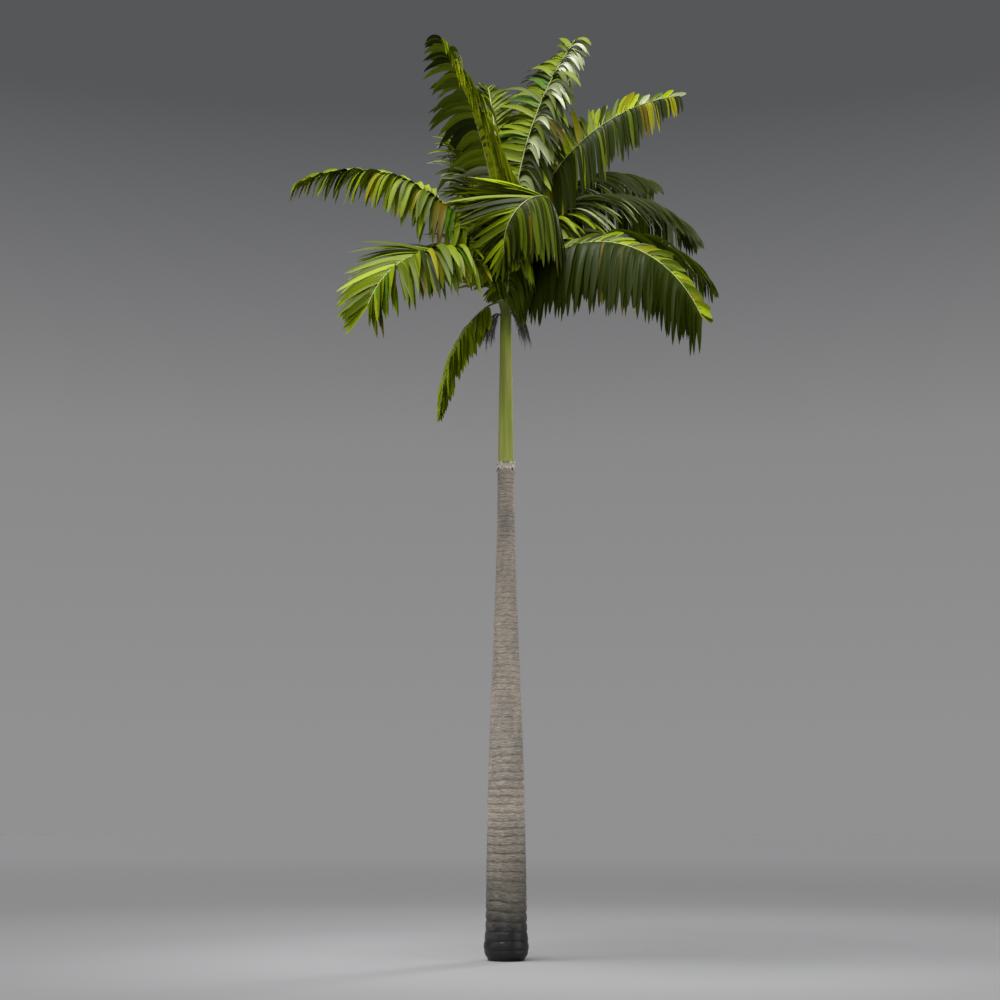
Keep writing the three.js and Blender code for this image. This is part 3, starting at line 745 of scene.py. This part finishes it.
# the rachis as rows of points, directions and ways to its left
def rachisCurve(frond):
    steps = frondRule["steps"]
    share = np.arange(steps + 1) / steps
    climb = np.radians(frond["rise"] - frond["sag"] * share ** frond["bend"])
    azimuth = np.radians(frond["azimuth"] + frond.get("swing", 0) * share)
    direction = np.stack([np.cos(climb) * np.cos(azimuth), np.cos(climb) * np.sin(azimuth), np.sin(climb)], axis=1)
    foot = float(shaftRadius(frond["height"])) + frondRule["ribSeat"]
    start = np.radians(frond["azimuth"])
    root = np.array([foot * np.cos(start), foot * np.sin(start), frond["height"]])
    strides = unit(direction[1:] + direction[:-1]) * frond["length"] / steps
    points = root + np.vstack([np.zeros(3), np.cumsum(strides, axis=0)])
    left = np.stack([-np.sin(azimuth), np.cos(azimuth), np.zeros(steps + 1)], axis=1)
    return points, direction, left


def atShare(values, share):
    places = np.linspace(0, 1, len(values))
    return np.stack([np.interp(share, places, values[:, axis]) for axis in range(3)], axis=1)


def rachisTube(frond, curve):
    points, direction, left = (part.copy() for part in curve)
    share = np.linspace(0, 1, len(points))
    size = mix(1, frondRule["ribTip"], share**0.8)
    points[0] = points[0] - direction[0] * frondRule["ribHeel"]
    over = np.cross(direction, left)
    clasp = 1 + 0.5 * np.exp(-share / 0.03)
    halfWidth = frondRule["ribWidth"] / 2 * size * clasp
    halfThickness = frondRule["ribThickness"] / 2 * size
    places, faces, numbers = sweptTube(points, left, over, halfWidth, halfThickness, frondRule["ribSides"])
    # the foot is greener and darker than the rest
    green = round(frondRule["greenFoot"] * (len(points) - 1)) * frondRule["ribSides"]
    numbers = [1 if number < green else 0 for number in range(len(faces))]
    numbers[-2] = 1
    return places, faces, numbers


# turns vectors about unit axes by angles
def turned(vectors, axes, angles):
    cosine, sine = np.cos(angles)[..., None], np.sin(angles)[..., None]
    along = np.sum(vectors * axes, axis=-1, keepdims=True) * axes
    return vectors * cosine + np.cross(axes, vectors) * sine + along * (1 - cosine)


def leafletMesh(frond, curve):
    rule = frondRule
    points, direction, left = curve
    count = round(frond["leaflets"] * rule["crowding"])
    index, side = np.divmod(np.arange(2 * count), 2)
    key = frond["seed"] * 977 + index * 2 + side
    share = (index + mix(0.3, 0.7, side) + 0.2 * scatter(key + 0.05)) / count
    start = frond.get("start", rule["start"])
    place = mix(start, 1, share**1.1)
    root = atShare(points, place)
    ahead = unit(atShare(direction, place))
    aside = unit(atShare(left, place))
    above = np.cross(ahead, aside)
    fan = frond.get("fan", rule["fan"])
    rightFan = frond.get("rightFan", fan)
    leftSide = side == 0
    angle = np.where(leftSide, mix(*fan, share**1.5), mix(*rightFan, share**1.5))
    bunch = frond["seed"] * 61 + side * 17 + np.floor((index + 0.8 * scatter(key)) / rule["bunch"]) * 3.1
    angle = np.radians(angle + rule["fanJitter"] * scatter(key + 0.1) + rule["bunchFan"] * scatter(bunch + 0.2))
    lift = np.where(leftSide, *frond["lift"]) + rule["liftJitter"] * scatter(key + 0.2)
    lift = np.radians(lift + rule["bunchLift"] * scatter(bunch + 0.6))
    foot = frond.get("foot", rule["foot"])
    growing = mix(foot, 1, np.minimum(1, share / 0.3) ** 0.8)
    falling = 1 - frond.get("fall", rule["fall"]) * np.clip((share - 0.45) / 0.55, 0, None) ** 1.8
    profile = growing * falling
    length = np.where(leftSide, *frond["leaf"]) * profile * (1 + rule["lengthJitter"] * scatter(key + 0.3))
    length = length * (1 + rule["bunchLength"] * scatter(bunch + 0.8))
    hang = np.where(leftSide, *frond["hang"]) * (1 + rule["hangJitter"] * scatter(key + 0.4))
    sign = np.where(leftSide, 1.0, -1.0)
    first = (
        ahead * np.cos(angle)[:, None]
        + aside * (np.sin(angle) * np.cos(lift) * sign)[:, None]
        + above * (np.sin(angle) * np.sin(lift))[:, None]
    )
    stations = rule["stations"]
    along = np.linspace(0, 1, stations) ** 1.15
    middle = (along[1:] + along[:-1]) / 2
    ways = unit(first[:, None] - up * (hang[:, None] * middle[None] ** 0.9)[..., None])
    strides = ways * (np.diff(along)[None, :, None] * length[:, None, None])
    line = root[:, None] + np.concatenate([np.zeros((2 * count, 1, 3)), np.cumsum(strides, axis=1)], axis=1)
    tangent = unit(np.concatenate([ways[:, :1], ways[:, 1:] + ways[:, :-1], ways[:, -1:]], axis=1))
    # the blade keeps as near as it can to the rib's direction all along the leaflet
    blade = ahead * sign[:, None]
    across = np.empty_like(tangent)
    for row in range(stations):
        way = tangent[:, row]
        blade = unit(blade - np.sum(blade * way, axis=1, keepdims=True) * way)
        across[:, row] = blade
    twist = np.radians(rule["twist"] * scatter(key + 0.5) + rule["louver"] * sign)[:, None] * (0.4 + 0.6 * along[None])
    across = turned(across, tangent, twist)
    over = np.cross(across, tangent)
    outline = np.clip(2.4 * (along + 0.03) ** 0.4, 0, 1) * np.clip(1.75 * (1 - along) ** 0.6, 0, 1)
    width = rule["leafWidth"] * (1 + rule["widthJitter"] * scatter(key + 0.6)) * (0.75 + 0.25 * profile)
    width = width * np.where(leftSide, *frond.get("broad", (1, 1)))
    half = np.maximum(width[:, None] / 2 * outline[None], 0.002)
    thick = np.maximum(rule["leafThickness"] * np.minimum(1, half / 0.02), 0.0012) / 2
    keel = line - over * (rule["fold"] * half)[..., None]
    rings = np.stack(
        [
            line - across * half[..., None],
            keel - over * thick[..., None],
            line + across * half[..., None],
            keel + over * thick[..., None],
        ],
        axis=2,
    )
    # four faces between stations: the first two are the underside, the last two the upper side
    base = np.arange(2 * count)[:, None, None] * stations * 4
    row = np.arange(stations - 1)[None, :, None] * 4
    corner = np.arange(4)[None, None, :]
    after = (corner + 1) % 4
    near = base + row
    faces = np.stack([near + after, near + corner, near + 4 + corner, near + 4 + after], axis=3)
    shades = [frond.get(way, frond["tones"]) for way in ("tones", "rightTones")]
    shares = [[shade.get(name, 0) for name in leafColours if name != "olive"] for shade in shades]
    tones = np.cumsum(shares, axis=1)[side]
    # neighbours tend to share a tone
    pick = (np.where(scatter(key * 3 + 0.7) > -0.2, scatter(bunch + 0.4), scatter(key * 7 + 0.2)) + 1) / 2
    tone = np.sum(tones < pick[:, None], axis=1)
    tone = np.where(tone == tones.shape[1], 0, tone + 1)
    # painted sheen: in a side's sheen stretch most leaflets take the whitish colour that stands in for a highlight
    sheen = np.array([frond.get(way, (2, 2)) for way in ("sheen", "rightSheen")])[side]
    shining = (share > sheen[:, 0]) & (share < sheen[:, 1]) & (scatter(key * 2 + 0.3) > rule["sheenShare"])
    tone = np.where(shining, len(leafColours) - 1, tone)
    underside = np.array([1, 1, 0, 0])[None, None, :]
    finish = np.broadcast_to(tone[:, None, None] * 2 + underside, faces.shape[:3]).copy()
    finish[scatter(key * 5 + 0.9) > rule["dryTips"], -1] = 2 * len(leafColours)
    faces = faces.reshape(-1, 4)
    numbers = finish.reshape(-1)
    footCaps = base[:, 0, 0][:, None] + np.array([0, 1, 2, 3])
    tipCaps = base[:, 0, 0][:, None] + (stations - 1) * 4 + np.array([3, 2, 1, 0])
    faces = np.vstack([faces, footCaps, tipCaps])
    numbers = np.concatenate([numbers, tone * 2, tone * 2])
    return rings.reshape(-1, 3), faces.tolist(), numbers.tolist()


def buildFronds():
    finishes = leafFinishes()
    rib = [newFinish("rachisSkin", (168, 176, 110), 0.45), newFinish("petioleSkin", (84, 98, 30), 0.5)]
    for frond in fronds:
        curve = rachisCurve(frond)
        whole = "frond_" + frond["name"]
        nodes = [whole + "_foot", whole + "_tip"] if frond.get("split") else [whole]
        leaflets = meshFrom("leaflets_" + frond["name"], [leafletMesh(frond, curve)])
        smoothed(leaflets, 30)
        finishPiece(leaflets, finishes, "frond", *nodes)
        rachis = meshFrom("rachis_" + frond["name"], [rachisTube(frond, curve)])
        smoothed(rachis, 60)
        finishPiece(rachis, rib, "frond", *nodes)


buildFronds()
print("fronds dressed")

stalkRule = {
    "climb": (60, -80),
    "stemWidth": 0.026,
    "spread": 1.1,  # radians to either side
    "branches": 34,
    "twigs": 12,
    "branchWidth": 0.009,
    "branchDroop": 3.6,
    "twigWidth": 0.005,
    "twigDroop": 1.0,
    "twigReach": 0.3,  # share of a branch's length
}

stalks = [
    dict(name="flower_stalk_right", azimuth=-8, height=8.42, length=0.17, branch=0.38, seed=31),
    dict(name="flower_stalk_left", azimuth=172, height=8.4, length=0.17, branch=0.36, seed=35),
]


def stalkFinish():
    finish = newFinish("dryStalk", (112, 104, 92), 0.9)
    grain = stretchedNoise(finish, (60.0, 60.0, 60.0), 3.0)
    colours = colourRamp(finish, grain, [(0.35, (52, 47, 43)), (0.55, (98, 92, 86)), (0.75, (144, 139, 132))])
    link(finish, colours, shaderOf(finish).inputs["Base Color"])
    return finish


# a thin twig that leaves its root in a direction and droops
def droopingTwig(root, way, length, droop, width, rows=6):
    share = np.linspace(0, 1, rows)
    ways = unit(way[None] - up[None] * (droop * share)[:, None])
    points = root + np.vstack([np.zeros(3), np.cumsum(ways[1:] * length / (rows - 1), axis=0)])
    across = unit(np.cross(ways, up + 0.01))
    over = np.cross(ways, across)
    half = width / 2 * (1 - 0.6 * share)
    return points, sweptTube(points, across, over, half, half, 4)


def buildStalks():
    finish = stalkFinish()
    for stalk in stalks:
        azimuth = math.radians(stalk["azimuth"])
        outward, around = outwardAndAround(azimuth)
        share = np.linspace(0, 1, 11)
        climb = np.radians(mix(*stalkRule["climb"], share))
        ways = outward * np.cos(climb)[:, None] + up * np.sin(climb)[:, None]
        root = outward * (float(shaftRadius(stalk["height"])) - 0.008) + up * stalk["height"]
        points = root + np.vstack([np.zeros(3), np.cumsum(ways[1:] * stalk["length"] / 10, axis=0)])
        half = stalkRule["stemWidth"] / 2 * mix(1, 0.45, share)
        parts = [sweptTube(points, np.tile(around, (11, 1)), np.cross(ways, around), half, half * 0.85, 8)]
        for number in range(stalkRule["branches"]):
            key = stalk["seed"] * 97 + number
            place = points[int(round(mix(0.1, 1, number / (stalkRule["branches"] - 1)) * 10))]
            turn = azimuth + stalkRule["spread"] * float(scatter(key + 0.1))
            away = np.array([math.cos(turn), math.sin(turn), 0.0])
            length = stalk["branch"] * 0.95 * (1 + 0.25 * float(scatter(key + 0.3)))
            way = away * 0.7 - up * 0.1
            line, tube = droopingTwig(place, way, length, stalkRule["branchDroop"], stalkRule["branchWidth"], 8)
            parts.append(tube)
            for twig in range(stalkRule["twigs"]):
                twigKey = key * 13 + twig
                foot = line[1 + twig % 7]
                aim = turn + 1.1 * float(scatter(twigKey + 0.4))
                way = np.array([math.cos(aim) * 0.35, math.sin(aim) * 0.35, -0.9])
                reach = stalk["branch"] * stalkRule["twigReach"] * (1 + 0.4 * float(scatter(twigKey + 0.6)))
                parts.append(droopingTwig(foot, way, reach, stalkRule["twigDroop"], stalkRule["twigWidth"], 4)[1])
        piece = meshFrom(stalk["name"] + "_twigs", parts)
        smoothed(piece, 50)
        finishPiece(piece, [finish], "flower_stalk", stalk["name"])


buildStalks()
print("flower stalks dressed")
